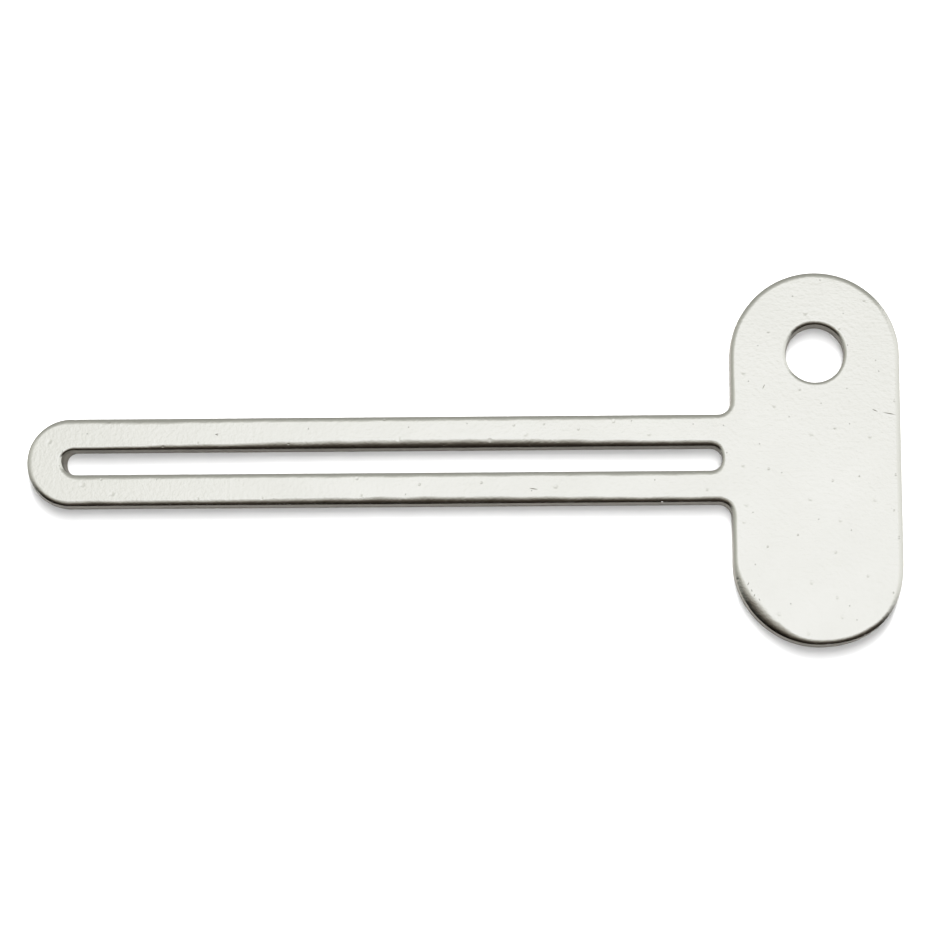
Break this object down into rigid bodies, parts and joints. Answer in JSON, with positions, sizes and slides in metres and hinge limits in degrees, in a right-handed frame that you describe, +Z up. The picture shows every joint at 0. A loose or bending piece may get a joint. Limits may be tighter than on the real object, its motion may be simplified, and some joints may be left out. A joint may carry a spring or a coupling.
{
  "type": "tube squeezer key",
  "caption": "Flat stamped stainless-steel winding key with a long slot for a tube's crimped end, a round-ended handle and a hanging hole.",
  "frame": {"origin": "centre of the plate's bounding box in plan, on the underside face", "axes": "+X along the shank towards the handle, +Y across the shank towards the handle end that has the hanging hole, +Z up through the sheet"},
  "size_m": [0.105, 0.0452, 0.002],
  "materials": {
    "stainless_steel": "tumbled satin stainless steel, with a darker sheared edge"
  },
  "bodies": {
    "root": {"handle": "stainless_steel", "near_rail": "stainless_steel", "far_rail": "stainless_steel", "shank_tip": "stainless_steel"}
  },
  "joints": []
}
